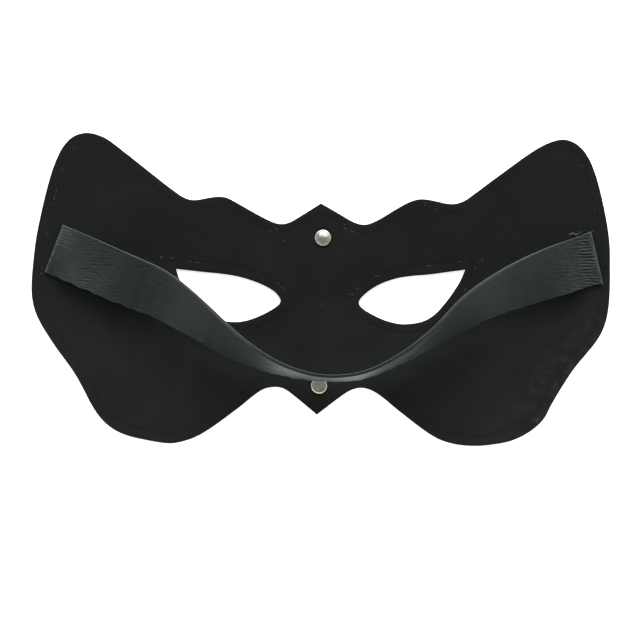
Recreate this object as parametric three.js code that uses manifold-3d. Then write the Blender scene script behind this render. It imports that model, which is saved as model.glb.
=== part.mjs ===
// A faux leather eye mask that lies face down, with its lining and its strap uppermost.
// Millimetres, +Z up, +Y towards the mask's brow. The origin is on the surface that the mask lies on,
// under the middle of its outline.

import * as THREE from "three";
import { mergeVertices } from "three/addons/utils/BufferGeometryUtils.js";
import Module from "manifold-3d";

const wasm = await Module();
wasm.setup();

// The two sheets, and the gap between pieces that touch.
const COVER_THICKNESS = 1.0;
const LINING_THICKNESS = 0.9;
const GAP = 0.3;

// How the sheets lie: raised over the rivets' caps, flat, and curled up a little at the two sides.
const RIDGE_HEIGHT = 1.5;
const RIDGE_HALF_WIDTH = 30;
const FLAT_UNTIL = 80;
const END_LIFT = 2.5;
const HALF_LENGTH = 115.3;
const SHEET_STEP = 2.5;
const SHEET_LENGTH = 240;
const SHEET_WIDTH = 140;

// Straight segments in each span of an outline, and the height of what cuts the sheets to it.
const SPAN_STEPS = 5;
const CUTTER_HEIGHT = 30;

// Half the outline from the brow's point round the right lobe to the nose's point, and the other half.
const BROW_POINT = [-0.4, 34.9];
const NOSE_POINT = [-0.6, -49.6];
const RIGHT_HALF = [
  BROW_POINT, [6.1, 31.3], [13.3, 27.4], [16.8, 26.6], [20.3, 27.5], [35.3, 36.3],
  [39.8, 37.4], [45.1, 36.7], [52.3, 35.5], [56.7, 36.8], [60.9, 39.8], [70.4, 47.1],
  [87.9, 59.6], [95.6, 62.2], [100.0, 61.2], [103.7, 58.4], [107.0, 53.4], [110.2, 44.7],
  [114.8, 23.2], [115.4, 10.0], [115.3, -2.5], [114.1, -10.5], [111.4, -17.0], [101.3, -30.3],
  [93.2, -43.9], [90.1, -50.0], [84.4, -55.2], [77.3, -58.8], [70.0, -60.4], [62.9, -61.1],
  [54.8, -60.5], [47.2, -58.1], [31.7, -47.2], [25.6, -42.3], [21.3, -39.6], [17.0, -38.5],
  [12.7, -39.6], [8.3, -42.6], NOSE_POINT,
];
const LEFT_HALF = [
  BROW_POINT, [-8.4, 29.7], [-13.2, 26.9], [-16.7, 26.3], [-20.8, 27.6], [-35.3, 35.2],
  [-38.7, 36.8], [-43.2, 36.8], [-51.6, 35.3], [-54.9, 36.1], [-60.4, 39.7], [-82.2, 56.2],
  [-87.5, 59.8], [-94.5, 61.6], [-99.9, 60.0], [-103.2, 56.8], [-105.5, 52.8], [-108.8, 43.5],
  [-113.7, 20.4], [-114.8, 10.4], [-115.4, 0.6], [-115.0, -5.6], [-113.1, -12.0],
  [-106.7, -22.6], [-97.4, -35.3], [-89.8, -48.9], [-86.1, -53.6], [-81.6, -57.1],
  [-76.4, -59.3], [-69.2, -60.9], [-59.3, -62.2], [-54.9, -61.5], [-47.7, -58.8],
  [-31.9, -47.4], [-25.6, -42.1], [-22.2, -39.8], [-17.7, -38.8], [-14.1, -39.3],
  [-9.6, -42.4], NOSE_POINT,
];

// Each eye hole: its upper edge from the blunt inner corner out to the sharp one, and its lower edge back.
const RIGHT_EYE = {
  upper: [
    [14.9, -4.6], [16.5, -2.3], [21.9, 2.0], [29.1, 5.1], [36.2, 6.5], [43.4, 7.2],
    [50.5, 8.3], [57.8, 9.4],
  ],
  lower: [
    [57.8, 9.4], [56.1, 5.3], [53.4, 0.7], [50.0, -4.1], [45.6, -9.0], [41.2, -11.6],
    [36.6, -12.6], [32.3, -12.8], [26.5, -11.6], [21.5, -9.5], [16.2, -6.3], [14.9, -4.6],
  ],
};
const LEFT_EYE = {
  upper: [
    [-15.4, -4.4], [-17.7, -1.3], [-23.1, 1.9], [-32.2, 4.9], [-39.2, 6.0], [-46.5, 6.6],
    [-58.0, 7.7],
  ],
  lower: [
    [-58.0, 7.7], [-56.8, 3.9], [-54.0, -0.6], [-50.4, -5.0], [-45.9, -9.5], [-41.4, -12.1],
    [-36.8, -13.0], [-31.8, -13.0], [-26.5, -11.5], [-21.2, -9.0], [-16.4, -5.8], [-15.4, -4.4],
  ],
};

// The rivets: a base whose post goes down through both sheets into a domed cap on the face.
const RIVET_SIDES = 32;
const RIVET_POST_RADIUS = 1.3;
const RIVET_HOLE_RADIUS = RIVET_POST_RADIUS + GAP;
const RIVET_SUNK_HEIGHT = 0.7;
const RIVET_CAP_HEIGHT = 0.95;
const RIVET_SOCKET_DEPTH = 0.45;
// Half sections of a base's rim and of a cap's dome: radius and height.
const RIVET_RIM = [
  [3.25, 0], [3.45, 0.25], [3.45, 0.55], [3.25, 0.82], [2.9, 0.9], [2.55, 0.82], [2.25, RIVET_SUNK_HEIGHT],
];
const RIVET_DOME = [
  [0, 0], [1.38, 0.06], [2.59, 0.24], [3.28, 0.52], [3.45, 0.8], [3.3, RIVET_CAP_HEIGHT],
];
const RIVETS = { top: [0.6, 21.1], bottom: [0.1, -37.9] };

// The strap: a soft elastic band, sewn flat at both ends, that rises and stands on its edge between them.
const STRAP_WIDTH = 20;
const STRAP_THICKNESS = 1.3;
const STRAP_SEWN = GAP + STRAP_THICKNESS / 2;
const STRAP_STEPS = 88;
// Its right end is a little wider, and isn't cut quite square, over this share of its length.
const STRAP_END_SHARE = 0.06;
const STRAP_END_FLARE = 0.9;
const STRAP_END_SKEW = 0.1;
// Its middle line from the left end to the right: x, y, height above the lining, and its lean in degrees.
const STRAP_LIE = [
  [-106.9, 15.0, STRAP_SEWN, 0],
  [-101.6, 12.9, STRAP_SEWN, 0],
  [-91.3, 8.6, 3.0, 2],
  [-81.0, 4.3, 5.5, 8],
  [-65.3, -1.9, 8.2, 23],
  [-55.6, -7.6, 9.9, 36],
  [-46.3, -13.9, 11.9, 48],
  [-32.4, -23.4, 14.3, 63],
  [-17.0, -30.7, 15.3, 76.5],
  [-0.4, -34.4, 15.7, 84],
  [16.6, -33.4, 15.9, 83],
  [32.1, -26.4, 15.7, 80],
  [46.3, -16.9, 14.7, 71.5],
  [59.6, -6.5, 12.7, 53.5],
  [74.4, 1.7, 10.3, 37],
  [89.8, 8.0, 6.4, 18],
  [104.2, 13.1, STRAP_SEWN, 0],
  [109.9, 15.1, STRAP_SEWN, 0],
];

const faceLeather = new THREE.MeshStandardMaterial({ color: "#1b1b1c", roughness: 0.5, metalness: 0 });
const suede = new THREE.MeshStandardMaterial({ color: "#1d201e", roughness: 0.95, metalness: 0 });
const band = new THREE.MeshStandardMaterial({ color: "#343a36", roughness: 0.6, metalness: 0 });
const nickel = new THREE.MeshStandardMaterial({ color: "#b9bdb3", roughness: 0.3, metalness: 1 });

// Height of the sheets' underside above the surface, at a distance along the mask.
function sheetRise(x) {
  const across = Math.abs(x);
  if (across < RIDGE_HALF_WIDTH) {
    return RIDGE_HEIGHT * Math.cos((Math.PI * across) / (2 * RIDGE_HALF_WIDTH)) ** 2;
  }
  const beyond = Math.max(0, across - FLAT_UNTIL) / (HALF_LENGTH - FLAT_UNTIL);
  return END_LIFT * beyond ** 2;
}

function liningTop(x) {
  return sheetRise(x) + COVER_THICKNESS + GAP + LINING_THICKNESS;
}

// A smooth curve through the given points, whatever they hold: places, or heights and angles.
function smoothCurve(rows) {
  const points = rows.map(([x, y, z = 0]) => new THREE.Vector3(x, y, z));
  return new THREE.CatmullRomCurve3(points, false, "centripetal");
}

function flatPoints(rows) {
  return smoothCurve(rows)
    .getPoints((rows.length - 1) * SPAN_STEPS)
    .map(({ x, y }) => new THREE.Vector2(x, y));
}

// A closed shape from two edges that start and end at the same two corners.
function closedShape(there, back) {
  return new THREE.Shape([...flatPoints(there).slice(0, -1), ...flatPoints(back).slice(0, -1)]);
}

// Closed geometry as a solid for joining and cutting, and back.
function toSolid(geometry) {
  const bare = geometry.clone();
  bare.deleteAttribute("normal");
  bare.deleteAttribute("uv");
  const merged = mergeVertices(bare, 1e-4);
  const triVerts = new Uint32Array(merged.index.array);
  const vertProperties = merged.attributes.position.array;
  return new wasm.Manifold(new wasm.Mesh({ numProp: 3, vertProperties, triVerts }));
}

function toMesh(name, solid, material) {
  const { vertProperties, triVerts } = solid.getMesh();
  const geometry = new THREE.BufferGeometry();
  geometry.setAttribute("position", new THREE.BufferAttribute(vertProperties, 3));
  geometry.setIndex(new THREE.BufferAttribute(triVerts, 1));
  geometry.computeVertexNormals();
  return namedMesh(name, geometry, material);
}

function namedMesh(name, geometry, material) {
  const mesh = new THREE.Mesh(geometry, material);
  mesh.name = name;
  return mesh;
}

// Straight-sided cutters that go through both sheets.
function prism(shape) {
  const geometry = new THREE.ExtrudeGeometry(shape, { depth: CUTTER_HEIGHT, bevelEnabled: false });
  return toSolid(geometry.translate(0, 0, -CUTTER_HEIGHT / 2));
}

function rivetHole([x, y]) {
  const geometry = new THREE.CylinderGeometry(
    RIVET_HOLE_RADIUS, RIVET_HOLE_RADIUS, CUTTER_HEIGHT, RIVET_SIDES,
  );
  return toSolid(geometry.rotateX(Math.PI / 2).translate(x, y, 0));
}

// A sheet of the mask: a slab bent to the way the mask lies, cut to its outline and pierced.
const outline = prism(closedShape(RIGHT_HALF, [...LEFT_HALF].reverse()));
const holes = [
  prism(closedShape(RIGHT_EYE.upper, RIGHT_EYE.lower)),
  prism(closedShape(LEFT_EYE.upper, LEFT_EYE.lower)),
  rivetHole(RIVETS.top),
  rivetHole(RIVETS.bottom),
];

function sheet(name, height, thickness, material) {
  const steps = SHEET_LENGTH / SHEET_STEP;
  const slab = new THREE.BoxGeometry(SHEET_LENGTH, SHEET_WIDTH, thickness, steps, 1, 1);
  slab.translate(0, 0, height + thickness / 2);
  const places = slab.attributes.position;
  for (let i = 0; i < places.count; i += 1) {
    places.setZ(i, places.getZ(i) + sheetRise(places.getX(i)));
  }
  const cut = holes.reduce((solid, hole) => solid.subtract(hole), toSolid(slab).intersect(outline));
  return toMesh(name, cut, material);
}

// The strap's middle, its direction across and its face's direction, from 0 at its left end to 1.
const strapMiddle = smoothCurve(STRAP_LIE);
const strapLean = smoothCurve(STRAP_LIE.map(([x, , , lean]) => [x, lean]));

function strapFrame(along) {
  const middle = strapMiddle.getPoint(along);
  middle.z = Math.max(middle.z, STRAP_SEWN);
  const lean = THREE.MathUtils.degToRad(Math.max(strapLean.getPoint(along).y, 0));
  const ahead = strapMiddle.getTangent(along);
  const level = new THREE.Vector3(-ahead.y, ahead.x, 0).normalize();
  const upright = new THREE.Vector3().crossVectors(ahead, level);
  const across = level.multiplyScalar(Math.cos(lean)).addScaledVector(upright, Math.sin(lean));
  const outwards = new THREE.Vector3().crossVectors(ahead, across);
  return { middle, ahead, across, outwards };
}

function strap() {
  const geometry = new THREE.BoxGeometry(1, STRAP_WIDTH, STRAP_THICKNESS, STRAP_STEPS, 1, 1);
  const places = geometry.attributes.position;
  for (let i = 0; i < places.count; i += 1) {
    const along = places.getX(i) + 0.5;
    const { middle: place, ahead, across, outwards } = strapFrame(along);
    const atEnd = Math.max(0, 1 - (1 - along) / STRAP_END_SHARE);
    const sideways = places.getY(i);
    place.addScaledVector(across, sideways * (1 + (atEnd * STRAP_END_FLARE) / STRAP_WIDTH));
    place.addScaledVector(ahead, sideways * atEnd * STRAP_END_SKEW);
    place.addScaledVector(outwards, places.getZ(i));
    places.setXYZ(i, place.x, place.y, place.z + liningTop(place.x));
  }
  geometry.computeVertexNormals();
  return namedMesh("strap", geometry, band);
}

// Turned pieces: a profile of radius and height, from the axis below to the axis above.
function turned(name, profile, [x, y], height) {
  const points = profile.map(([radius, z]) => new THREE.Vector2(radius, z));
  const geometry = new THREE.LatheGeometry(points, RIVET_SIDES).rotateX(Math.PI / 2);
  const mesh = namedMesh(name, geometry, nickel);
  mesh.position.set(x, y, height);
  return mesh;
}

function rivet(name, place) {
  const capBottom = sheetRise(place[0]) - GAP - RIVET_CAP_HEIGHT;
  const baseBottom = liningTop(place[0]) + GAP;
  const socket = RIVET_CAP_HEIGHT - RIVET_SOCKET_DEPTH;
  const postBottom = capBottom + socket + GAP - baseBottom;
  const base = turned(`rivet_${name}_base`, [
    [0, postBottom],
    [RIVET_POST_RADIUS, postBottom],
    [RIVET_POST_RADIUS, 0],
    ...RIVET_RIM,
    [0, RIVET_SUNK_HEIGHT],
  ], place, baseBottom);
  const cap = turned(`rivet_${name}_cap`, [
    ...RIVET_DOME,
    [RIVET_HOLE_RADIUS, RIVET_CAP_HEIGHT],
    [RIVET_HOLE_RADIUS, socket],
    [0, socket],
  ], place, capBottom);
  return [base, cap];
}

const mask = new THREE.Group();
mask.add(
  sheet("front_cover", 0, COVER_THICKNESS, faceLeather),
  sheet("back_lining", COVER_THICKNESS + GAP, LINING_THICKNESS, suede),
  strap(),
  ...rivet("top", RIVETS.top),
  ...rivet("bottom", RIVETS.bottom),
);

export default mask;
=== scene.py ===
"""A faux leather eye mask that lies face down on a white table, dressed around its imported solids."""

import math
import random

import bmesh
import bpy
import numpy as np
from mathutils import Matrix, Vector, geometry, noise


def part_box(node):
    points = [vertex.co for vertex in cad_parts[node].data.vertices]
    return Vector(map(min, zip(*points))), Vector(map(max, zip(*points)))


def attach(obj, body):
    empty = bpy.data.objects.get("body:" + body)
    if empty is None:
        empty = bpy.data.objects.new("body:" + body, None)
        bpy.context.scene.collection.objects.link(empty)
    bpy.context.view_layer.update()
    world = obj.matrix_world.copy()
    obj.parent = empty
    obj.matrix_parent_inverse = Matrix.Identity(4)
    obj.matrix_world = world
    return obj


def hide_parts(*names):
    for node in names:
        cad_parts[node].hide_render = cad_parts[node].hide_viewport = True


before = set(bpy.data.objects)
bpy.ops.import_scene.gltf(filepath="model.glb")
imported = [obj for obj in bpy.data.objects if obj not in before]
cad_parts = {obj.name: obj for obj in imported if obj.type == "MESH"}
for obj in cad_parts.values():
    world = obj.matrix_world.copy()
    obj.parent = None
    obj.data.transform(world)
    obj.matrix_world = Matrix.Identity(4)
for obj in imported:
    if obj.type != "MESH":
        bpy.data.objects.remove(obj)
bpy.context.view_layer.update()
scene = bpy.context.scene
scene.view_settings.view_transform = "Standard"
MM = 0.001


# The table, the light and the camera. The mask lies on a white table that is faintly lit from within. A wide
# light stands low beyond the brow, a smaller one above it and a weak one beyond the chin. The room is bright
# all round and dark overhead, and the camera looks straight down from about a metre.
class Shade:
    """One output of a node tree. Arithmetic on it adds Math nodes, and node() adds any other node."""

    def __init__(self, tree, socket=None):
        self.tree = tree
        self.socket = socket

    def node(self, kind, settings, inputs, output=0):
        made = self.tree.nodes.new(kind)
        for name, value in settings.items():
            setattr(made, name, value)
        for name, value in inputs.items():
            if isinstance(value, Shade):
                self.tree.links.new(value.socket, made.inputs[name])
            else:
                made.inputs[name].default_value = value
        return Shade(self.tree, made.outputs[output])

    def math(self, operation, first, second=0.0):
        return self.node("ShaderNodeMath", {"operation": operation}, {0: first, 1: second})

    def __add__(self, other):
        return self.math("ADD", self, other)

    def __sub__(self, other):
        return self.math("SUBTRACT", self, other)

    def __rsub__(self, other):
        return self.math("SUBTRACT", other, self)

    def __mul__(self, other):
        return self.math("MULTIPLY", self, other)

    def __abs__(self):
        return self.math("ABSOLUTE", self)

    __radd__ = __add__
    __rmul__ = __mul__


def ease(value, low, high):
    """0 where the value is at low, 1 where it is at high, and smooth between."""
    settings = {"interpolation_type": "SMOOTHSTEP"}
    return value.node("ShaderNodeMapRange", settings, {"Value": value, "From Min": low, "From Max": high})


def coordinate(place, axis):
    """A place's X, Y or Z."""
    return place.node("ShaderNodeSeparateXYZ", {}, {"Vector": place}, axis)


CAMERA_DISTANCE = 0.95
CAMERA_PLACE = (0, -11.74 * MM)
CAMERA_TURN = math.radians(1.0)
SIGHT_LEVEL = 2.2 * MM
VIEW_WIDTH = 0.256
SENSOR_WIDTH = 36.0
camera_data = bpy.data.cameras.new("camera")
camera_data.sensor_width = SENSOR_WIDTH
camera_data.lens = SENSOR_WIDTH * CAMERA_DISTANCE / VIEW_WIDTH
camera = bpy.data.objects.new("camera", camera_data)
camera.location = (*CAMERA_PLACE, CAMERA_DISTANCE + SIGHT_LEVEL)
camera.rotation_euler.z = CAMERA_TURN
scene.collection.objects.link(camera)
scene.camera = camera

HORIZON_LIGHT = 1.9
CEILING_LIGHT = 0.25
CEILING_EDGE = 0.95
world = bpy.data.worlds.new("studio")
world.use_nodes = True
scene.world = world
sky = Shade(world.node_tree)
direction = sky.node("ShaderNodeTexCoord", {}, {}, "Generated")
overhead = ease(coordinate(direction, "Z"), 0.0, CEILING_EDGE)
strength = HORIZON_LIGHT - overhead * (HORIZON_LIGHT - CEILING_LIGHT)
backdrop = world.node_tree.nodes["Background"]
backdrop.inputs["Color"].default_value = (1, 1, 1, 1)
world.node_tree.links.new(strength.socket, backdrop.inputs["Strength"])

# name, place, width and depth of the panel, watts
SOFT_LIGHTS = (
    ("brow_light", (0.2, 2.7, 1.55), (3.6, 1.2), 127.0),
    ("high_light", (0.12, 0.82, 1.34), (1.5, 1.0), 9.8),
    ("chin_light", (-0.3, -1.4, 0.55), (1.8, 0.7), 4.8),
)
for light_name, light_place, light_size, watts in SOFT_LIGHTS:
    light = bpy.data.lights.new(light_name, "AREA")
    light.shape = "RECTANGLE"
    light.size, light.size_y = light_size
    light.energy = watts
    lamp = bpy.data.objects.new(light_name, light)
    lamp.location = light_place
    lamp.rotation_euler = (-Vector(light_place)).to_track_quat("-Z", "Y").to_euler()
    scene.collection.objects.link(lamp)


def finish(name, constants, pattern):
    """A material with these constant values, and the ones that vary over the surface, from pattern(nodes)."""
    made = bpy.data.materials.new(name)
    made.use_nodes = True
    shader = made.node_tree.nodes["Principled BSDF"]
    for socket, value in constants.items():
        shader.inputs[socket].default_value = value
    for socket, value in pattern(Shade(made.node_tree)).items():
        made.node_tree.links.new(value.socket, shader.inputs[socket])
    return made


def object_place(nodes):
    return nodes.node("ShaderNodeTexCoord", {}, {}, "Object")


def cloud(place, size, detail=2.0):
    """Soft noise from 0 to 1 whose blotches are about this size, in metres."""
    return place.node("ShaderNodeTexNoise", {}, {"Vector": place, "Scale": 1 / size, "Detail": detail}, "Fac")


def blend(share, first, second):
    settings = {"data_type": "RGBA"}
    return share.node("ShaderNodeMix", settings, {0: share, 6: first, 7: second}, 2)


def relief(height, depth):
    """Bumps from a height of 0 to 1 that stands for this depth, in metres."""
    return height.node("ShaderNodeBump", {}, {"Height": height, "Distance": depth, "Strength": 1.0}, "Normal")


TABLE_REACH = 3.0
TABLE_CLOUD = 0.5
TABLE_WHITES = ((0.93, 0.93, 0.93, 1), (0.96, 0.96, 0.96, 1))
TABLE_GLOW = {"Roughness": 0.8, "Emission Color": (1, 1, 1, 1), "Emission Strength": 0.7}


def table_top(nodes):
    return {"Base Color": blend(cloud(object_place(nodes), TABLE_CLOUD), *TABLE_WHITES)}


table_shape = bmesh.new()
bmesh.ops.create_grid(table_shape, x_segments=2, y_segments=2, size=TABLE_REACH)
table_mesh = bpy.data.meshes.new("table")
table_shape.to_mesh(table_mesh)
table_shape.free()
table_mesh.materials.append(finish("white_table", TABLE_GLOW, table_top))
table = bpy.data.objects.new("table", table_mesh)
scene.collection.objects.link(table)


# The cut. One die cuts both sheets, with the scalloped outline, two eye holes and two rivet holes. Its lines
# are the lining solid's, evened out. No one operator fills an outline with holes, so triangles do, between
# rings along its lines. A line is complex numbers, x + iy in metres, with the sheet on its left.
WELD = 1e-6
FACING_UP = 0.5
LINE_STEP = 0.9 * MM
SAME_POINT = 0.02 * MM
SMOOTHINGS = 3
OUTLINE_SHARP = math.radians(45)
EYE_SHARP = math.radians(95)
NO_CORNERS = math.pi
INSET_SLACK = 0.98
POINTS_AT_ONCE = 500


def rims(node):
    """The edges round a sheet's upper side, longest first, and the height of each of their points."""
    shell = bmesh.new()
    shell.from_mesh(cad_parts[node].data)
    bmesh.ops.remove_doubles(shell, verts=shell.verts, dist=WELD)
    rim = [edge for edge in shell.edges if sum(face.normal.z > FACING_UP for face in edge.link_faces) == 1]
    lines = []
    while rim:
        edge = rim.pop()
        walk = list(edge.verts)
        while walk[-1] != walk[0]:
            edge = next(other for other in walk[-1].link_edges if other in rim)
            rim.remove(edge)
            walk.append(edge.other_vert(walk[-1]))
        places = np.array([vert.co for vert in walk[:-1]])
        lines.append((places[:, 0] + 1j * places[:, 1], places[:, 2]))
    shell.free()
    return sorted(lines, key=lambda line: -np.ptp(line[0].real))


def turned_left(line, outer):
    """A closed line that has the sheet on its left."""
    area = (np.conj(line) * np.roll(line, -1)).imag.sum()
    return line if (area > 0) == outer else line[::-1]


def spaced(line, step, sharp, smoothings):
    """A closed line with even points, smoothed apart from its sharp corners, and which points those are."""
    line = line[abs(np.roll(line, -1) - line) > SAME_POINT]
    ahead = np.roll(line, -1) - line
    corners = np.flatnonzero(abs(np.angle(ahead / np.roll(ahead, 1))) > sharp)
    first = corners[0] if len(corners) else 0
    line = np.append(np.roll(line, -first), line[first])
    ends = np.append(corners - first if len(corners) else 0, len(line) - 1)
    points, marks = [], []
    for start, end in zip(ends, ends[1:]):
        stretch = line[start : end + 1]
        along = np.append(0, np.cumsum(abs(np.diff(stretch))))
        count = max(2, round(along[-1] / step))
        stretch = np.interp(np.linspace(0, along[-1], count + 1), along, stretch)
        for _ in range(smoothings):
            stretch[1:-1] = (stretch[:-2] + 2 * stretch[1:-1] + stretch[2:]) / 4
        mark = np.zeros(count, bool)
        mark[0] = len(corners) > 0
        points.append(stretch[:-1])
        marks.append(mark)
    return np.concatenate(points), np.concatenate(marks)


def reach(points, line):
    """How far each point is from a closed line."""
    side = np.roll(line, -1) - line
    found = []
    for block in np.array_split(points, len(points) // POINTS_AT_ONCE + 1):
        away = block[:, None] - line
        share = np.clip((away * np.conj(side)).real / abs(side) ** 2, 0, 1)
        found.append(abs(away - share * side).min(1))
    return np.concatenate(found)


def inset(line, marks, depth, sharp):
    """A closed line moved into the sheet, with its sharp corners mitred."""
    ahead = np.roll(line, -1) - line
    ahead /= abs(ahead)
    middle = ahead + np.roll(ahead, 1)
    middle /= abs(middle)
    longer = np.where(marks, 1 / (middle * np.conj(ahead)).real, 1)
    moved = line + 1j * middle * depth * longer
    return spaced(moved[marks | (reach(moved, line) > INSET_SLACK * depth)], LINE_STEP, sharp, 0)[0]


cut_lines = rims("back_lining")
edge_lines = []
for number, (line, _) in enumerate(cut_lines[:3]):
    sharp = EYE_SHARP if number else OUTLINE_SHARP
    edge_lines.append((*spaced(turned_left(line, number == 0), LINE_STEP, sharp, SMOOTHINGS), sharp))
rivet_lines = []
for line, _ in cut_lines[3:]:
    rivet_lines.append((*spaced(turned_left(line, False), LINE_STEP / 2, NO_CORNERS, 0), NO_CORNERS))

EDGE_RADIUS = 0.3 * MM
EDGE_ROW = 3.8 * MM
EYE_ROW = 3.5 * MM
# how far in from a cut each ring lies, but for ROW_RINGS, which lie on both sides of a row of stitches
EDGE_RINGS = (0, 0.1 * MM, EDGE_RADIUS, 1.3 * MM, 2.4 * MM)
ROW_RINGS = (-0.6 * MM, -0.3 * MM, 0, 0.3 * MM, 0.6 * MM, 1.8 * MM)
RIVET_RINGS = (0, 0.15 * MM, 1.85 * MM, 2.2 * MM, 2.7 * MM, 3.6 * MM)
FILL_STEP = 2.2 * MM
FILL_MARGIN = 1.2 * MM
CUT_WELD = 1e-7

flat_points, flat_edges, flat_cuts = [], [], []
for number, (line, marks, sharp) in enumerate(edge_lines + rivet_lines):
    rings = RIVET_RINGS
    if number < len(edge_lines):
        row = EYE_ROW if number else EDGE_ROW
        rings = (*EDGE_RINGS, *(row + offset for offset in ROW_RINGS))
    for depth in rings:
        ring = inset(line, marks, depth, sharp) if depth else line
        start, count = len(flat_points), len(ring)
        flat_points.extend(ring)
        flat_edges.extend((start + i, start + (i + 1) % count) for i in range(count))
        if depth == 0:
            ids = list(range(start, start + count))
            flat_cuts.append(ids[::-1] if number else ids)

low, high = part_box("back_lining")
fill_rows = np.arange(low.y, high.y, FILL_STEP * math.sqrt(0.75))
fill = np.concatenate(
    [np.arange(low.x + (k % 2) * FILL_STEP / 2, high.x, FILL_STEP) + 1j * y for k, y in enumerate(fill_rows)]
)
clear = np.ones(len(fill), bool)
for line, _, _ in edge_lines:
    clear &= reach(fill, line) > EYE_ROW + ROW_RINGS[-1] + FILL_MARGIN
for line, _, _ in rivet_lines:
    clear &= reach(fill, line) > RIVET_RINGS[-1] + FILL_MARGIN
flat_points.extend(fill[clear])

flat_verts, _, flat_faces, _, _, flat_from = geometry.delaunay_2d_cdt(
    [Vector((point.real, point.imag)) for point in flat_points], flat_edges, flat_cuts, 0, CUT_WELD
)
cut_faces = [face for face, origins in zip(flat_faces, flat_from) if list(origins) == [0]]
cut_points = np.array([vert.x + 1j * vert.y for vert in flat_verts])
from_lines = [reach(cut_points, line) for line, _, _ in edge_lines]
from_edge = np.min(from_lines, axis=0)
from_row = np.min([abs(away - (EYE_ROW if k else EDGE_ROW)) for k, away in enumerate(from_lines)], axis=0)
rivet_middles = [line.mean() for line, _, _ in rivet_lines]
from_rivet = np.min([abs(cut_points - middle) for middle in rivet_middles], axis=0)

rim_places = np.concatenate([line.real for line, _ in cut_lines])
rim_heights = np.concatenate([heights for _, heights in cut_lines])
by_place = np.argsort(rim_places)
LINING_TOP = rim_heights.min()
LINING_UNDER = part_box("back_lining")[0].z
COVER_THICKNESS = 1.0 * MM
JOIN = (COVER_THICKNESS + LINING_UNDER) / 2
GLUE_GAP = 0.03 * MM
GROOVE_WIDTH = 0.42 * MM
RIVET_RADIUS = 3.45 * MM
DISH_WIDTH = 0.9 * MM
LONG_WAVE = 22 * MM
SHORT_WAVE = 7 * MM
SHORT_WAVE_SHARE = 0.35
SHORT_WAVE_SEED = 3.3
SHARP_CREASE = math.radians(50)


def bend(x):
    """How far the sheets are lifted at this distance along the mask."""
    return np.interp(x, rim_places[by_place], rim_heights[by_place]) - LINING_TOP


def swells(points, size, seed):
    """Soft noise from about -1 to 1 at each point."""
    return np.array([noise.noise((point.real / size, point.imag / size, seed)) for point in points])


def sunk(groove, dish, wave, seed):
    """How far a sheet's outer side lies below its plain level: rounded edges, rows, rivets and soft waves."""
    short = np.clip(EDGE_RADIUS - from_edge, 0, EDGE_RADIUS)
    rounding = EDGE_RADIUS - np.sqrt(EDGE_RADIUS**2 - short**2)
    rows = groove * np.exp(-((from_row / GROOVE_WIDTH) ** 2))
    dishes = dish * np.exp(-((np.clip(from_rivet - RIVET_RADIUS, 0, None) / DISH_WIDTH) ** 2))
    short_waves = SHORT_WAVE_SHARE * swells(cut_points, SHORT_WAVE, seed + SHORT_WAVE_SEED)
    waves = wave * (swells(cut_points, LONG_WAVE, seed) + short_waves)
    return rounding + rows + dishes + waves - waves.min()


def sheet_shape(outer, level):
    """A sheet of the mask: the cut at the heights of its outer side, and again against the other sheet."""
    shape = bmesh.new()
    edge_layer = shape.verts.layers.float.new("from_edge")
    row_layer = shape.verts.layers.float.new("from_row")
    verts = []
    for point, z, edge, row in zip(cut_points, outer, from_edge, from_row):
        vert = shape.verts.new((point.real, point.imag, z))
        vert[edge_layer] = edge
        vert[row_layer] = row
        verts.append(vert)
    for face in cut_faces:
        shape.faces.new([verts[i] for i in face])
    bmesh.ops.delete(shape, geom=[vert for vert in verts if not vert.link_faces], context="VERTS")
    inner = bmesh.ops.extrude_face_region(shape, geom=shape.faces[:])["geom"]
    for vert in [item for item in inner if isinstance(item, bmesh.types.BMVert)]:
        vert.co.z = bend(vert.co.x) + level
    bmesh.ops.recalc_face_normals(shape, faces=shape.faces[:])
    return shape


def piece(name, shape, slot, coat, *nodes):
    """A finished piece of the mask, which rides on it and stands for the named solids."""
    mesh = bpy.data.meshes.new(name)
    shape.to_mesh(mesh)
    shape.free()
    mesh.materials.append(coat)
    mesh.shade_smooth()
    mesh.set_sharp_from_angle(angle=SHARP_CREASE)
    made = bpy.data.objects.new(name, mesh)
    scene.collection.objects.link(made)
    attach(made, "root")
    if nodes:
        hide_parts(*nodes)


def kept_measure(nodes, name):
    """A measure kept on the piece's own points, such as how far each is from the cut edge."""
    return nodes.node("ShaderNodeAttribute", {"attribute_name": name}, {}, "Fac")


# The front cover. Black faux leather with a fine pebble grain pressed into its coating. The cut edge shows
# the paler cloth behind it. The mask lies on this side, and the lining is glued to the other.
PEBBLE_SIZE = 0.9 * MM
PORE_SIZE = 0.25 * MM
WEAR_SIZE = 18 * MM
PEBBLE_DEPTH = 0.09 * MM
LEATHER_BLACKS = ((0.0085, 0.0085, 0.0090, 1), (0.013, 0.013, 0.0135, 1))
CUT_CLOTH = (0.035, 0.036, 0.035, 1)


def pebbled_leather(nodes):
    place = object_place(nodes)
    voronoi = {"Vector": place, "Scale": 1 / PEBBLE_SIZE}
    pebbles = place.node("ShaderNodeTexVoronoi", {"feature": "SMOOTH_F1"}, voronoi)
    pores = cloud(place, PORE_SIZE)
    wear = cloud(place, WEAR_SIZE, 4.0)
    grain = (1 - ease(pebbles, 0.1, 0.75)) * 0.8 + pores * 0.2
    edge = ease(kept_measure(nodes, "from_edge"), EDGE_RADIUS, 0.0)
    return {
        "Base Color": blend(edge * 0.5, blend(wear, *LEATHER_BLACKS), CUT_CLOTH),
        "Roughness": 0.38 + wear * 0.12 + pores * 0.06,
        "Normal": relief(grain, PEBBLE_DEPTH),
    }


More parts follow.
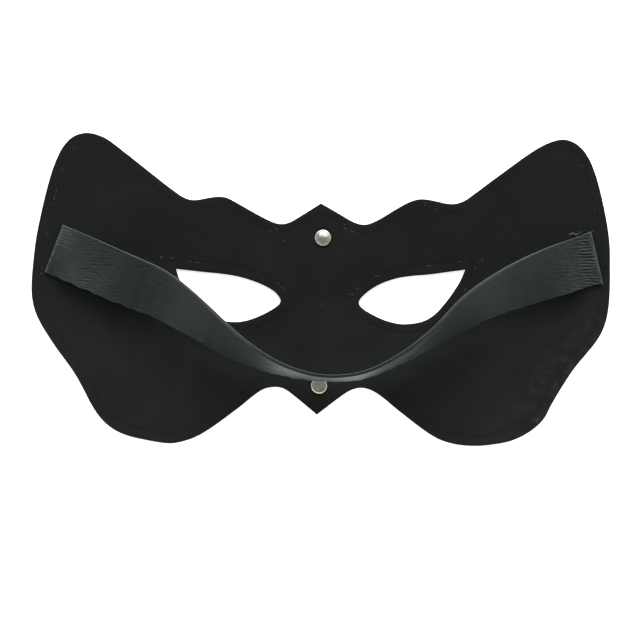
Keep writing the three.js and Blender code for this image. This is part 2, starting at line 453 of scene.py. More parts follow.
leather = finish("pebbled_faux_leather", {"Specular IOR Level": 0.5}, pebbled_leather)
cover_face = bend(cut_points.real) + sunk(groove=0.2 * MM, dish=0.12 * MM, wave=0.06 * MM, seed=11.7)
piece("cover", sheet_shape(cover_face, JOIN - GLUE_GAP), "face_leather", leather, "front_cover")

# The back lining. Black suede-like cloth with a short brushed nap, glued to the cover and cut with it. The
# stitches and the rivets pull it down. Its nap is paler in places along the cut edges. Painted light makes
# it lighter towards the chin, a painted sheen gives the lobe at the lower right paler patches, and painted
# shade darkens the grooves of the stitch rows.
BRUSHED_SIZE = 26 * MM
PATCH_SIZE = 5 * MM
NAP_SIZE = 0.22 * MM
FRAY_SIZE = 7 * MM
SHEEN_PATCH_SIZE = 3.5 * MM
NAP_DEPTH = 0.12 * MM
PAINTED_LIGHT_TOWARD_CHIN = (45 * MM, -35 * MM)
FRAYED_EDGE = (0.7 * MM, 0.0)
SHEEN_PATCH_RIGHT = (55 * MM, 85 * MM)
SHEEN_PATCH_LOW = (2 * MM, -22 * MM)
SHEEN_PATCH_EDGE = (20 * MM, 2 * MM)
ROW_SHADE_REACH = (0.5 * MM, 0.1 * MM)
SUEDE_BLACKS = ((0.0066, 0.0080, 0.0074, 1), (0.0108, 0.0127, 0.0118, 1))
FRAYED_NAP = (0.034, 0.037, 0.035, 1)
# next: a painted sheen for the lower right lobe, and a painted shade for the stitch grooves
PAINTED_SHEEN_NAP = (0.024, 0.027, 0.0255, 1)
ROW_SHADE_NAP = (0.006, 0.0068, 0.0063, 1)


def brushed_suede(nodes):
    place = object_place(nodes)
    right = coordinate(place, "X")
    brow = coordinate(place, "Y")
    from_cut = kept_measure(nodes, "from_edge")
    patches = cloud(place, PATCH_SIZE, 3.0)
    fibres = cloud(place, NAP_SIZE, 3.0)
    tone = cloud(place, BRUSHED_SIZE, 3.0) * 0.55 + patches * 0.2 + fibres * 0.25
    # painted light: the nap is made lighter towards the chin
    tone = tone + ease(brow, *PAINTED_LIGHT_TOWARD_CHIN) * 0.18 - 0.13
    nap = blend(ease(tone, 0.25, 0.75), *SUEDE_BLACKS)
    frayed = ease(from_cut, *FRAYED_EDGE) * ease(cloud(place, FRAY_SIZE, 2.0), 0.5, 0.75)
    nap = blend(frayed * 0.6, nap, FRAYED_NAP)
    # painted sheen: paler patches on the lobe at the lower right
    paler_region = ease(right, *SHEEN_PATCH_RIGHT) * ease(brow, *SHEEN_PATCH_LOW) * ease(from_cut, *SHEEN_PATCH_EDGE)
    painted_sheen_patches = paler_region * ease(cloud(place, SHEEN_PATCH_SIZE, 4.0), 0.42, 0.7)
    nap = blend(painted_sheen_patches * 0.4, nap, PAINTED_SHEEN_NAP)
    # painted shade: the nap is darkened in the grooves of the stitch rows
    row_shade = ease(kept_measure(nodes, "from_row"), *ROW_SHADE_REACH)
    return {
        "Base Color": blend(row_shade * 0.15, nap, ROW_SHADE_NAP),
        "Normal": relief(fibres * 0.7 + patches * 0.3, NAP_DEPTH),
    }


suede = finish("brushed_suede", {"Roughness": 0.95, "Specular IOR Level": 0.08}, brushed_suede)
lining_sunk = sunk(groove=0.13 * MM, dish=0.15 * MM, wave=0.09 * MM, seed=4.2)
lining_face = LINING_TOP + bend(cut_points.real) - lining_sunk
piece("lining", sheet_shape(lining_face, JOIN + GLUE_GAP), "lining", suede, "back_lining")

# The sewing. One row of black thread runs inside the whole cut edge and one round each eye hole, through both
# sheets, so each stitch shows on the lining and again on the cover. It is drawn tight into its row, and some
# patches are paler, though not along the brows or the lower edge.
STITCH_PITCH = 3.1 * MM
STITCH_LENGTH = 2.3 * MM
START_SLIP = 0.15
LENGTH_SLIP = (-0.25, 0.15)
SIDE_SLIP = 0.06
LINING_LIFT = 0.04 * MM
IN_GROOVE = 0.1 * MM
THREAD_RADIUS = 0.19 * MM
BEAD_SIDES = 8
BEAD_RINGS = 7
sewing = random.Random(8)
bead_shape = bmesh.new()
bmesh.ops.create_uvsphere(bead_shape, u_segments=BEAD_SIDES, v_segments=BEAD_RINGS, radius=1)
bead = bpy.data.meshes.new("bead")
bead_shape.to_mesh(bead)
bead_shape.free()


def stitch(shape, start, end, start_height, end_height, lift):
    """One stitch between two points of a row, at the heights of its two ends."""
    middle = (start + end) / 2
    place = Vector((middle.real, middle.imag, (start_height + end_height) / 2 + lift))
    tilt = math.atan2(start_height - end_height, abs(end - start))
    lie = Matrix.Rotation(float(np.angle(end - start)), 4, "Z") @ Matrix.Rotation(tilt + math.pi / 2, 4, "Y")
    size = Matrix.Diagonal((THREAD_RADIUS, THREAD_RADIUS, abs(end - start) / 2, 1))
    made = bead.copy()
    made.transform(Matrix.Translation(place) @ lie @ size)
    shape.from_mesh(made)
    bpy.data.meshes.remove(made)


def sew(shape, line, face, lift):
    """A row of stitches round a closed line, drawn down into its groove on a side of the mask."""
    groove = from_row < IN_GROOVE
    line = np.append(line, line[0])
    along = np.append(0, np.cumsum(abs(np.diff(line))))
    count = round(along[-1] / STITCH_PITCH)
    for start in np.arange(count) * along[-1] / count:
        start += sewing.uniform(-START_SLIP, START_SLIP) * MM
        length = STITCH_LENGTH + sewing.uniform(*LENGTH_SLIP) * MM
        ends = np.interp((start, start + length), along, line)
        ends += sewing.uniform(-SIDE_SLIP, SIDE_SLIP) * MM * 1j
        heights = [face[groove][abs(cut_points[groove] - end).argmin()] for end in ends]
        stitch(shape, *ends, *heights, lift)


STRAND_SIZE = 0.18 * MM
STRAND_DEPTH = 0.05 * MM
PALER_PATCH_SIZE = 7 * MM
PALER_LOBES = (80 * MM, 96 * MM)
PALER_NOSE = (32 * MM, 16 * MM)
PALER_BELOW_BROW = (22 * MM, 14 * MM)
PALER_ABOVE = (-9 * MM, 2 * MM)
COVERED_RIGHT = (110 * MM, 108.5 * MM)
THREAD_BLACKS = ((0.0065, 0.0077, 0.0071, 1), (0.0105, 0.0122, 0.0115, 1))
PALER_THREAD = (0.045, 0.049, 0.048, 1)


def waxed_thread(nodes):
    place = object_place(nodes)
    right = coordinate(place, "X")
    brow = coordinate(place, "Y")
    sideways = abs(right)
    strands = cloud(place, STRAND_SIZE, 1.0)
    paler_region = ease(sideways, *PALER_LOBES) + ease(sideways, *PALER_NOSE) + ease(brow, *PALER_BELOW_BROW)
    lightened = ease(cloud(place, PALER_PATCH_SIZE, 2.0), 0.50, 0.61) * ease(paler_region, 0.0, 0.9)
    lightened = lightened * ease(brow, *PALER_ABOVE) * ease(right, *COVERED_RIGHT)
    return {
        "Base Color": blend(lightened * 0.8, blend(strands, *THREAD_BLACKS), PALER_THREAD),
        "Normal": relief(strands, STRAND_DEPTH),
    }


thread = finish("black_thread", {"Roughness": 0.8, "Specular IOR Level": 0.1}, waxed_thread)
SEWN_ROWS = {"edge_stitches": (edge_lines[:1], EDGE_ROW), "eye_stitches": (edge_lines[1:], EYE_ROW)}
for row_name, (row_lines, row) in SEWN_ROWS.items():
    stitches = bmesh.new()
    for line, marks, sharp in row_lines:
        sewn = inset(line, marks, row, sharp)
        sew(stitches, sewn, lining_face, LINING_LIFT)
        sew(stitches, sewn, cover_face, 0)
    piece(row_name, stitches, "lining", thread)

# The rivets. Each is a stamped nickel cap with a rolled rim, whose post goes down through both sheets and is
# pressed into a plain domed cap on the face. The nickel is a little worn and dented, and the lower crown is
# pressed flatter. Profiles are in millimetres, out from the axis and up from the rivet's foot.
RIVET_STEPS = 64
POST_RADIUS = 1.3
CROWN_FOOT = 0.47
CROWN_PROFILE = ((0, 0.43), (0.5, 0.41), (1.0, 0.355), (1.5, 0.27), (2.0, 0.150), (2.3, 0.05), (2.45, 0.0))
CROWNS = {"top": 1.0, "bottom": 0.3}
RIM_PROFILE = (
    (2.52, 0.478), (2.60, 0.484), (2.72, 0.475), (2.86, 0.44), (3.0, 0.37), (3.12, 0.27), (3.22, 0.15),
    (3.29, 0.02), (3.32, -0.1), (3.32, -0.2), (3.25, -0.3), (POST_RADIUS, -0.3),
)
BASE_HEIGHT = 0.9 * MM
DOME_PROFILE = (
    (0, 0.0), (0.8, 0.02), (1.6, 0.09), (2.3, 0.22), (2.85, 0.40), (3.2, 0.58), (3.4, 0.76), (3.45, 0.95),
    (3.4, 1.12), (3.25, 1.2), (POST_RADIUS, 1.2), (POST_RADIUS, 0.7), (0, 0.7),
)


def turned(profile, middle, foot):
    """A round piece from its half section."""
    shape = bmesh.new()
    verts = [shape.verts.new((radius * MM, 0, height * MM)) for radius, height in profile]
    edges = [shape.edges.new(pair) for pair in zip(verts, verts[1:])]
    bmesh.ops.spin(
        shape, geom=verts + edges, axis=(0, 0, 1), cent=(0, 0, 0), angle=2 * math.pi, steps=RIVET_STEPS,
        use_merge=True,
    )
    bmesh.ops.remove_doubles(shape, verts=shape.verts[:], dist=WELD)
    bmesh.ops.recalc_face_normals(shape, faces=shape.faces[:])
    bmesh.ops.translate(shape, verts=shape.verts[:], vec=(middle.x, middle.y, foot))
    return shape


SCUFF_SIZE = 1.6 * MM
DENT_SIZE = 2.4 * MM
DENT_DEPTH = 0.1 * MM
NICKEL_TONES = ((0.44, 0.48, 0.375, 1), (0.64, 0.68, 0.58, 1))


def worn_nickel(nodes):
    place = object_place(nodes)
    scuffs = cloud(place, SCUFF_SIZE, 2.0)
    return {
        "Base Color": blend(ease(scuffs, 0.3, 0.7), *NICKEL_TONES),
        "Roughness": 0.21 + scuffs * 0.12,
        "Normal": relief(cloud(place, DENT_SIZE, 0.0), DENT_DEPTH),
    }


nickel = finish("worn_nickel", {"Metallic": 1.0}, worn_nickel)
for which, crowning in CROWNS.items():
    low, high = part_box(f"rivet_{which}_base")
    foot = high.z - BASE_HEIGHT
    post_foot = (low.z - foot) / MM
    crown = [(radius, CROWN_FOOT + height * crowning) for radius, height in CROWN_PROFILE]
    base = turned((*crown, *RIM_PROFILE, (POST_RADIUS, post_foot), (0, post_foot)), (low + high) / 2, foot)
    piece(f"rivet_{which}", base, "nickel", nickel, f"rivet_{which}_base")
    low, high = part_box(f"rivet_{which}_cap")
    dome = turned(DOME_PROFILE, (low + high) / 2, low.z)
    piece(f"rivet_{which}_dome", dome, "nickel", nickel, f"rivet_{which}_cap")

# The strap. A soft elastic band glued to the back of a thin faux leather face. It is sewn flat on the lining
# at both ends, where the stretch has gathered its face into lengthwise ribs, and its slack middle has turned
# up on its edge over the nose. It lies as its solid does, with its sewn ends brought down to the lining.
END_FACING = 0.8
RIDGE_ANGLE = math.radians(45)
STATION_STEP = 0.35 * MM
STATION_SMOOTHINGS = 60
SETTLING = 0.8 * MM
MIDDLE = slice(0, 3)
ACROSS = slice(3, 6)
OUTWARDS = slice(6, 9)


def strap_stations(node):
    """Across the solid band at each of its steps: its middle, its width and its thickness, left to right."""
    shell = bmesh.new()
    shell.from_mesh(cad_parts[node].data)
    bmesh.ops.remove_doubles(shell, verts=shell.verts, dist=WELD)
    ends = {face for face in shell.faces if abs(face.normal.x) > END_FACING}
    ridges = {edge for edge in shell.edges if edge.calc_face_angle() > RIDGE_ANGLE}
    ridges = {edge for edge in ridges if not ends & set(edge.link_faces)}
    corners = [vert for vert in {vert for face in ends for vert in face.verts} if vert.co.x < 0]
    chains = []
    for vert in corners:
        chain = [vert]
        while steps := [edge for edge in chain[-1].link_edges if edge in ridges]:
            ridges.remove(steps[0])
            chain.append(steps[0].other_vert(chain[-1]))
        chains.append(np.array([vert.co for vert in chain]))
    shell.free()
    middle = np.mean(chains, axis=0)
    chains.sort(key=lambda chain: (chain[0][1] > middle[0][1], chain[0][2] > middle[0][2]))
    low_back, low_face, high_back, high_face = chains
    across = (high_back + high_face - low_back - low_face) / 2
    outwards = (low_face + high_face - low_back - high_back) / 2
    return np.hstack((middle, across, outwards))


stations = strap_stations("strap")
station_along = np.append(0, np.cumsum(np.linalg.norm(np.diff(stations[:, MIDDLE], axis=0), axis=1)))
STRAP_LENGTH = station_along[-1]
strap_along = np.linspace(0, STRAP_LENGTH, round(STRAP_LENGTH / STATION_STEP) + 1)
strap_lie = np.column_stack([np.interp(strap_along, station_along, column) for column in stations.T])
for _ in range(STATION_SMOOTHINGS):
    strap_lie[1:-1] = (strap_lie[:-2] + 2 * strap_lie[1:-1] + strap_lie[2:]) / 4
STRAP_WIDTH = np.linalg.norm(strap_lie[len(strap_lie) // 2, ACROSS])
STRAP_THICKNESS = np.linalg.norm(strap_lie[len(strap_lie) // 2, OUTWARDS])
clearance = strap_lie[:, 2] - bend(strap_lie[:, 0]) - LINING_TOP - STRAP_THICKNESS / 2
strap_lie[:, 2] -= clearance[0] * np.exp(-(clearance - clearance[0]) / SETTLING)

# the face: any set of blotches is how long they are, how wide, and the noise's seed
FACE_LEVEL = 0.5
SEWN_LEFT = 2.6 * MM
SEWN_RIGHT = 6.4 * MM
ROW_WIDTH = 0.5 * MM
ROW_DEPTH_LEFT = 0.05 * MM
ROW_DEPTH_RIGHT = 0.16 * MM
GATHER_DEPTH = 0.18 * MM
SWELL_DEPTH = 0.16 * MM
SWELL_BLOTCHES = (9 * MM, 7 * MM, 9.0)
PUCKER_DEPTH = 0.05 * MM
PUCKER_BLOTCHES = (2.6 * MM, 2.2 * MM, 12.0)

# ribs: how strong they are, and between which distances from the strap's end they come in
RIBS_LEFT = (0.42, 9 * MM, 2 * MM)
RIBS_LEFT_ACROSS = (-5 * MM, 3 * MM)
RIBS_RIGHT = ((0.8, 9 * MM, 5 * MM), (0.3, 24 * MM, 7 * MM))
RIBS_RIGHT_END = (0.4, 0.8 * MM, 2.8 * MM)
RIB_SPACING = 1.25 * MM
RIB_SLANT_LEFT = 0.05
RIB_SLANT_RIGHT = 0.30
RIB_DRIFT = 0.4
RIB_DRIFT_BLOTCHES = (3 * MM, 2.2 * MM, 2.0)
RIB_UNEVENNESS = 2.0
RIB_UNEVEN_BLOTCHES = (4 * MM, 1.0 * MM, 7.0)
RIB_ROUNDNESS = 0.75
RIB_BALANCE = 1.4

# ripples: where they start, are full, start to fade and are gone, from the strap's left and right end
RIPPLES_LEFT = (7 * MM, 17 * MM, 44 * MM, 62 * MM)
RIPPLES_RIGHT = (6 * MM, 8 * MM, 16 * MM, 36 * MM)
RIPPLE_SHARE = 0.65
RIPPLE_SPACING = 1.35 * MM
RIPPLE_BLOTCHES = (1.7 * MM, 1.3 * MM, 8.0)
RIPPLE_BENDING = 4
RIPPLE_BENDING_BLOTCHES = (7 * MM, 4 * MM, 4.0)
RIPPLE_PATCHES = (8 * MM, 8 * MM, 3.0)

# the lower edge: its waves, where it stands farther off the lining, and where it is free to flutter, each
# length with its noise's seed
EDGE_WAVES = 0.35 * MM
EDGE_WAVE_LENGTHS = ((9 * MM, 5.0), (3.5 * MM, 6.0))
EDGE_STAND = 2.0 * MM
STAND_LEFT = (3 * MM, 11 * MM, 30 * MM, 65 * MM)
STAND_RIGHT = (6 * MM, 13 * MM, 30 * MM, 65 * MM)
EDGE_FLUTTER = 0.85 * MM
FLUTTER_LENGTH = (3.2 * MM, 15.0)
FREE_FROM_LEFT = (8 * MM, 30 * MM)
FREE_FROM_RIGHT = (12 * MM, 34 * MM)
CALMER_SHARE = 0.4
CALMER_RIGHT = (128 * MM, 150 * MM)
END_SKEW = 0.65 * MM
END_SKEW_FADE = 10 * MM


def smooth_step(value, low, high):
    share = np.clip((value - low) / (high - low), 0, 1)
    return share * share * (3 - 2 * share)


def hump(value, start, full, fading, gone):
    """0 up to start, 1 between full and fading, 0 again from gone, and smooth between."""
    return smooth_step(value, gone, fading) * smooth_step(value, start, full)


def unevenness(along, across, blotches):
    """Soft noise from about -1 to 1 over the band, in blotches this long and this wide."""
    long, wide, seed = blotches
    return np.array([noise.noise((a / long, b / wide, seed)) for a, b in zip(along, across)])


def edge_unevenness(along, length, seed):
    """The same along an edge, where it is one number for the band's whole width."""
    return unevenness(along, 0 * along, (length, 1, seed))


def ribs(along, across):
    """The gathers that run in from the sewn ends, from about -1 in a crease to 1 on the top of a rib."""
    left = along
    right = STRAP_LENGTH - along
    slanted = across - RIB_SLANT_RIGHT * right * (right < left) - RIB_SLANT_LEFT * left * (right > left)
    drift = RIB_DRIFT * unevenness(along, across, RIB_DRIFT_BLOTCHES)
    uneven = 1 + RIB_UNEVENNESS * unevenness(along, slanted, RIB_UNEVEN_BLOTCHES)
    at_right = sum(strength * smooth_step(right, *limits) for strength, *limits in RIBS_RIGHT)
    end_strength, *end_limits = RIBS_RIGHT_END
    at_right *= end_strength + (1 - end_strength) * smooth_step(right, *end_limits)
    left_strength, *left_limits = RIBS_LEFT
    at_left = left_strength * smooth_step(left, *left_limits) * smooth_step(across, *RIBS_LEFT_ACROSS)
    rise = abs(np.sin(math.pi * (slanted / RIB_SPACING + drift))) ** RIB_ROUNDNESS
    return (at_right + at_left) * uneven * (2 * rise - RIB_BALANCE)


def ripples(along, across, x, y):
    """Short creases that lie level along the mask, from 0 where there is none to 1 in the bottom of one."""
    bending = RIPPLE_BENDING * unevenness(x, y, RIPPLE_BENDING_BLOTCHES)
    creases = smooth_step(np.sin(2 * math.pi * y / RIPPLE_SPACING + bending), -0.1, 0.8)
    dashes = smooth_step(unevenness(x, y, RIPPLE_BLOTCHES), -0.05, 0.2)
    patches = smooth_step(unevenness(along, across, RIPPLE_PATCHES), -0.35, -0.05)
    at_left = hump(along, *RIPPLES_LEFT) * patches
    at_right = hump(STRAP_LENGTH - along, *RIPPLES_RIGHT)
    return creases * dashes * (at_left + at_right)


def band_lie(along):
    """The band's middle, width and thickness at these places, carried straight on past its ends."""
    lie = np.column_stack([np.interp(along, strap_along, column) for column in strap_lie.T])
    lie += np.clip(along, None, 0)[:, None] / strap_along[1] * (strap_lie[1] - strap_lie[0])
    past_end = np.clip(along - STRAP_LENGTH, 0, None)[:, None]
    return lie + past_end / strap_along[1] * (strap_lie[-1] - strap_lie[-2])


def band_places(along, across, level):
    """Points of the band at a share of its thickness, and how much its face is gathered at each."""
    left = along
    right = STRAP_LENGTH - along
    lowness = 0.5 - across / STRAP_WIDTH
    lie = band_lie(along + END_SKEW * lowness * np.exp(-abs(left) / END_SKEW_FADE))
    waves = sum(edge_unevenness(along, *wave) for wave in EDGE_WAVE_LENGTHS)
    across = across - EDGE_WAVES * lowness**2 * waves
    places = lie[:, MIDDLE] + (across / STRAP_WIDTH)[:, None] * lie[:, ACROSS]
    stand = hump(left, *STAND_LEFT) + hump(right, *STAND_RIGHT)
    places[:, 2] += EDGE_STAND * stand * np.clip(lowness, 0, None) ** 2
    free = smooth_step(left, *FREE_FROM_LEFT) * smooth_step(right, *FREE_FROM_RIGHT)
    free *= CALMER_SHARE + (1 - CALMER_SHARE) * smooth_step(right, *CALMER_RIGHT)
    flutter = EDGE_FLUTTER * free * lowness**2 * edge_unevenness(along, *FLUTTER_LENGTH)
    places += (flutter / STRAP_THICKNESS)[:, None] * lie[:, OUTWARDS]
    if level < FACE_LEVEL:
        return places + level * lie[:, OUTWARDS], 0 * along
    gathers = ribs(along, across) - RIPPLE_SHARE * ripples(along, across, *places.T[:2])
    height = GATHER_DEPTH * gathers + SWELL_DEPTH * unevenness(along, across, SWELL_BLOTCHES)
    height += PUCKER_DEPTH * unevenness(along, across, PUCKER_BLOTCHES)
    height -= ROW_DEPTH_RIGHT * np.exp(-(((right - SEWN_RIGHT) / ROW_WIDTH) ** 2))
    height -= ROW_DEPTH_LEFT * np.exp(-(((left - SEWN_LEFT) / ROW_WIDTH) ** 2))
    return places + (level + height / STRAP_THICKNESS)[:, None] * lie[:, OUTWARDS], gathers


END_CROWDING = 0.6
LAYER_ROUNDING = 0.13 * MM


def layer_shape(low, high, steps, upper, lower, ends):
    """A layer of the band between two shares of its thickness, grown at its two edges and its ends."""
    shape = bmesh.new()
    bmesh.ops.create_grid(shape, x_segments=steps[0], y_segments=steps[1], size=0.5)
    along_layer = shape.verts.layers.float.new("along")
    across_layer = shape.verts.layers.float.new("across")
    gather_layer = shape.verts.layers.float.new("gather")
    outer = shape.verts[:]
    made = bmesh.ops.extrude_face_region(shape, geom=shape.faces[:])["geom"]
    inner = [item for item in made if isinstance(item, bmesh.types.BMVert)]
    for verts, level in ((outer, high), (inner, low)):
        shares = np.array([vert.co[:2] for vert in verts]) + 0.5
        closer = shares[:, 0] - END_CROWDING * np.sin(2 * math.pi * shares[:, 0]) / (2 * math.pi)
        along = closer * (STRAP_LENGTH + 2 * ends) - ends
        across = shares[:, 1] * (STRAP_WIDTH + upper + lower) - STRAP_WIDTH / 2 - lower
        for vert, place, gather, a, b in zip(verts, *band_places(along, across, level), along, across):
            vert.co = place
            vert[gather_layer] = gather
            vert[along_layer] = a
            vert[across_layer] = b
    bmesh.ops.recalc_face_normals(shape, faces=shape.faces[:])
    face = set(outer)
    face_edges = [edge for edge in shape.edges if set(edge.verts) <= face]
    rim = [edge for edge in face_edges if any(set(side.verts) - face for side in edge.link_faces)]
    bmesh.ops.bevel(
        shape, geom=rim, offset=LAYER_ROUNDING, offset_type="OFFSET", segments=2, profile=0.5, affect="EDGES",
        material=-1, clamp_overlap=True,
    )
    return shape


TONE_SIZE = 16 * MM
MOTTLE_SIZE = 1.3 * MM
MOTTLE_PACE = 0.7
GRAIN_SIZE = 0.35 * MM
GRAIN_PACE = 0.5
GRAIN_DEPTH = 0.06 * MM
LIT_END_PATCH_SIZE = 2.5 * MM
LIT_FRAYED_LEFT_END = (1.1 * MM, 0.3 * MM)
LIT_FRAYED_RIGHT_END = (STRAP_LENGTH - 1.6 * MM, STRAP_LENGTH - 0.5 * MM)
LOWER_EDGE_HIGHLIGHT = (0.4 * MM - STRAP_WIDTH / 2, 0.1 * MM - STRAP_WIDTH / 2)
PAINTED_SHEEN_END_ALONG = (11 * MM, 1 * MM)
PAINTED_SHEEN_END_ACROSS = (-6 * MM, 6 * MM)
SATIN_GREYS = ((0.0065, 0.0107, 0.0077, 1), (0.0110, 0.0167, 0.0125, 1))
# next: a painted shade for the creases, and a pale grey for painted highlights, painted sheen and frayed ends
PAINTED_CREASE_SHADE = (0.0020, 0.0026, 0.0023, 1)
HIGHLIGHT_AND_FRAY_GREY = (0.06, 0.065, 0.061, 1)
SATIN_SHEEN = {
    "Specular IOR Level": 0.18,
    "Sheen Weight": 0.20,
    "Sheen Roughness": 0.23,
    "Sheen Tint": (0.90, 1.0, 0.96, 1),
}
KNIT_SIZE = 0.5 * MM
KNIT_DEPTH = 0.1 * MM
KNIT_GREYS = ((0.068, 0.076, 0.073, 1), (0.11, 0.122, 0.118, 1))
GLUE_SIZE = 1 * MM
GLUE_BLACK = (0.004, 0.004, 0.004, 1)


def band_cloud(nodes, size, pace=1.0, detail=2.0):
    """Soft noise over the band in blotches this wide, and longer than wide where their pace is under 1."""
    along = kept_measure(nodes, "along") * pace
    across = kept_measure(nodes, "across")
    return cloud(nodes.node("ShaderNodeCombineXYZ", {}, {"X": along, "Y": across}), size, detail)


def satin_leather(nodes):
    along = kept_measure(nodes, "along")
    across = kept_measure(nodes, "across")
    gather = kept_measure(nodes, "gather")
    grain = band_cloud(nodes, GRAIN_SIZE, GRAIN_PACE)
    mottle = band_cloud(nodes, MOTTLE_SIZE, MOTTLE_PACE)
    tone = band_cloud(nodes, TONE_SIZE, detail=3.0) * 0.5 + grain * 0.2 + mottle * 0.3
    grey = blend(ease(tone, 0.3, 0.7), *SATIN_GREYS)
    # painted shade: the creases of the ribs and ripples are darkened
    grey = blend(ease(gather, -0.15, -0.7) * 0.8, grey, PAINTED_CREASE_SHADE)
    # painted highlight on the cut ends, where paler frayed fibre also shows
    lit_frayed_ends = ease(along, *LIT_FRAYED_LEFT_END) + ease(along, *LIT_FRAYED_RIGHT_END)
    lit_frayed_ends = lit_frayed_ends * ease(band_cloud(nodes, LIT_END_PATCH_SIZE), 0.3, 0.7)
    # painted sheen towards the upper side of the strap's left end
    lightened = ease(along, *PAINTED_SHEEN_END_ALONG) * ease(across, *PAINTED_SHEEN_END_ACROSS)
    # painted highlight along the lower edge
    edge = ease(across, *LOWER_EDGE_HIGHLIGHT)
    # these painted highlights and sheen, the paler frayed ends, and a painted highlight on the tops of the
    # ribs
    highlights_and_fray = lit_frayed_ends * 0.6 + lightened * 0.3 + edge * 0.2 + ease(gather, 0.0, 0.5) * 0.2
    return {
        "Base Color": blend(highlights_and_fray, grey, HIGHLIGHT_AND_FRAY_GREY),
        "Roughness": 0.42 + grain * 0.15,
        "Normal": relief(grain * 0.6 + mottle * 0.4, GRAIN_DEPTH),
    }


def knitted_back(nodes):
    knit = band_cloud(nodes, KNIT_SIZE)
    return {"Base Color": blend(knit, *KNIT_GREYS), "Normal": relief(knit, KNIT_DEPTH)}


def black_glue(nodes):
    return {"Roughness": 0.6 + cloud(object_place(nodes), GLUE_SIZE) * 0.3}


satin = finish("satin_faux_leather", SATIN_SHEEN, satin_leather)
knit = finish("knitted_elastic", {"Roughness": 0.8, "Specular IOR Level": 0.2}, knitted_back)
glue = finish("black_glue", {"Base Color": GLUE_BLACK, "Specular IOR Level": 0.2}, black_glue)
strap_face = layer_shape(low=-0.08, high=FACE_LEVEL, steps=(260, 128), upper=0, lower=0, ends=0)
piece("strap_face", strap_face, "strap_band", satin, "strap")
strap_core = layer_shape(
    low=-0.32, high=-0.06, steps=(200, 4), upper=-0.5 * MM, lower=-0.3 * MM, ends=-0.4 * MM
)
piece("strap_core", strap_core, "strap_band", glue)
strap_back = layer_shape(low=-0.5, high=-0.3, steps=(200, 24), upper=0.12 * MM, lower=0, ends=0.25 * MM)
piece("strap_back", strap_back, "strap_band", knit)

# The strap's sewing. A row of the same black thread crosses each end of the band and holds it on the lining.
# The stitches are pulled into the strap's soft face.
CROSSING_MARGIN = 1.0 * MM
CROSSING_END = 0.8 * STITCH_LENGTH
CROSSING_PITCH = 2.5 * MM
CROSSING_LENGTH = 1.9 * MM
CROSSING_LIFT = -0.1 * MM
crossings = np.arange(CROSSING_MARGIN - STRAP_WIDTH / 2, STRAP_WIDTH / 2 - CROSSING_END, CROSSING_PITCH)
strap_stitches = bmesh.new()
for row_along in (SEWN_LEFT, STRAP_LENGTH - SEWN_RIGHT):
    row_line = np.full(len(crossings), row_along)
    starts = band_places(row_line, crossings, FACE_LEVEL)[0]
    stops = band_places(row_line, crossings + CROSSING_LENGTH, FACE_LEVEL)[0]
    for start, stop in zip(starts, stops):
        stitch(strap_stitches, complex(*start[:2]), complex(*stop[:2]), start[2], stop[2], CROSSING_LIFT)
piece("strap_stitches", strap_stitches, "strap_band", thread)

# The loose ends. A few fibres that frayed out of the cut edges lie curled on the lining, most of them at the
# strap's ends, and two cut ends of the black thread stand out where a row was begun or finished.

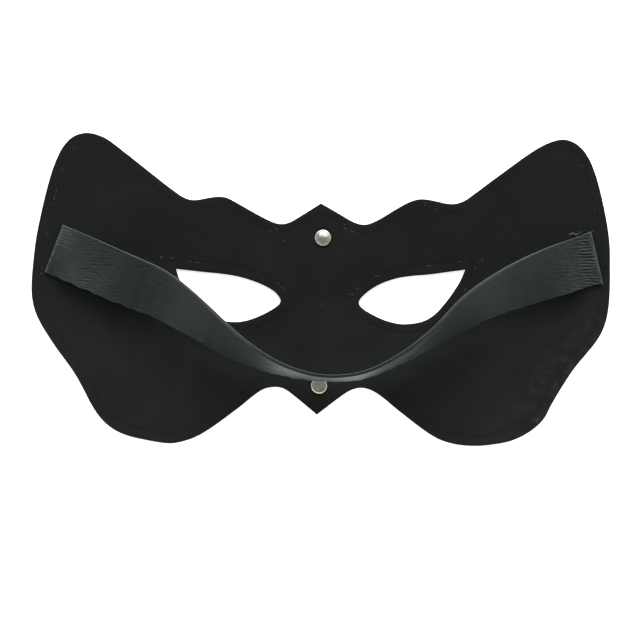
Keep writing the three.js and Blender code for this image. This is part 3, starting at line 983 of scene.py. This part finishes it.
# x and y, heading in degrees, length, how far it curls round in degrees, and thickness
FRAYED_FIBRES = (
    (98.6, 24.5, -8, 3.4, 20, 1.0), (99.8, 25.1, -22, 2.8, -25, 0.9), (101.6, 24.2, 14, 2.6, 30, 0.9),
    (98.9, 23.6, 18, 2.2, 40, 0.8), (112.5, 4.7, -80, 0.7, 20, 0.9), (108.2, 25.2, 60, 0.8, 40, 0.7),
    (-64.5, 12.3, -20, 1.2, 60, 0.9), (-60.2, 11.8, 5, 1.5, 20, 0.8), (64.1, 13.9, -80, 1.6, 40, 0.6),
    (11.5, -0.8, -60, 1.7, 80, 0.5), (0.3, -5.0, -88, 1.3, 10, 0.4), (-15.0, 20.0, -70, 0.9, 60, 0.6),
    (40.9, 34.4, 62, 1.7, 15, 0.5), (44.9, 33.7, -40, 1.7, 30, 0.5), (-18.4, 24.6, -50, 1.2, 30, 0.6),
    (8.4, 26.9, -35, 1.2, 25, 0.6), (87.2, -50.9, 40, 1.6, 50, 0.6),
)
CUT_ENDS = ((-24.3, -13.0, -105, 2.2, 70, 1.6), (105.6, 49.0, -80, 1.8, 30, 1.4))
THREAD_END_RADIUS = 0.11 * MM
THREAD_END_STEPS = 6
THREAD_END_ARCH = 2
FIBRE_SIZE = 0.3 * MM
FIBRE_GREYS = ((0.05, 0.053, 0.051, 1), (0.12, 0.124, 0.12, 1))


def thread_end_shape(ends):
    """Short loose threads that lie curled on the lining."""
    curve = bpy.data.curves.new("thread_end", "CURVE")
    curve.dimensions = "3D"
    curve.bevel_depth = THREAD_END_RADIUS
    curve.bevel_resolution = 1
    curve.use_fill_caps = True
    for x, y, heading, length, curl, thickness in ends:
        headings = math.radians(heading) + math.radians(curl) * np.linspace(0, 1, THREAD_END_STEPS)
        walk = np.append(0, np.cumsum(np.exp(1j * headings))) * length * MM / THREAD_END_STEPS
        spots = (x + 1j * y) * MM + walk
        arch = THREAD_END_ARCH * np.sin(np.linspace(0, math.pi, len(spots)))
        lifts = THREAD_END_RADIUS * (0.5 * thickness + arch)
        spline = curve.splines.new("POLY")
        spline.points.add(len(spots) - 1)
        for point, spot, lift in zip(spline.points, spots, lifts):
            point.co = (spot.real, spot.imag, LINING_TOP + bend(spot.real) + lift, 1)
            point.radius = thickness
    holder = bpy.data.objects.new("thread_end", curve)
    mesh = bpy.data.meshes.new_from_object(holder)
    shape = bmesh.new()
    shape.from_mesh(mesh)
    bpy.data.objects.remove(holder)
    bpy.data.meshes.remove(mesh)
    return shape


def frayed_fibre(nodes):
    return {"Base Color": blend(cloud(object_place(nodes), FIBRE_SIZE), *FIBRE_GREYS)}


frayed = finish("frayed_fibre", {"Roughness": 0.6, "Specular IOR Level": 0.3}, frayed_fibre)
piece("frayed_fibres", thread_end_shape(FRAYED_FIBRES), "lining", frayed)
piece("cut_thread_ends", thread_end_shape(CUT_ENDS), "lining", thread)
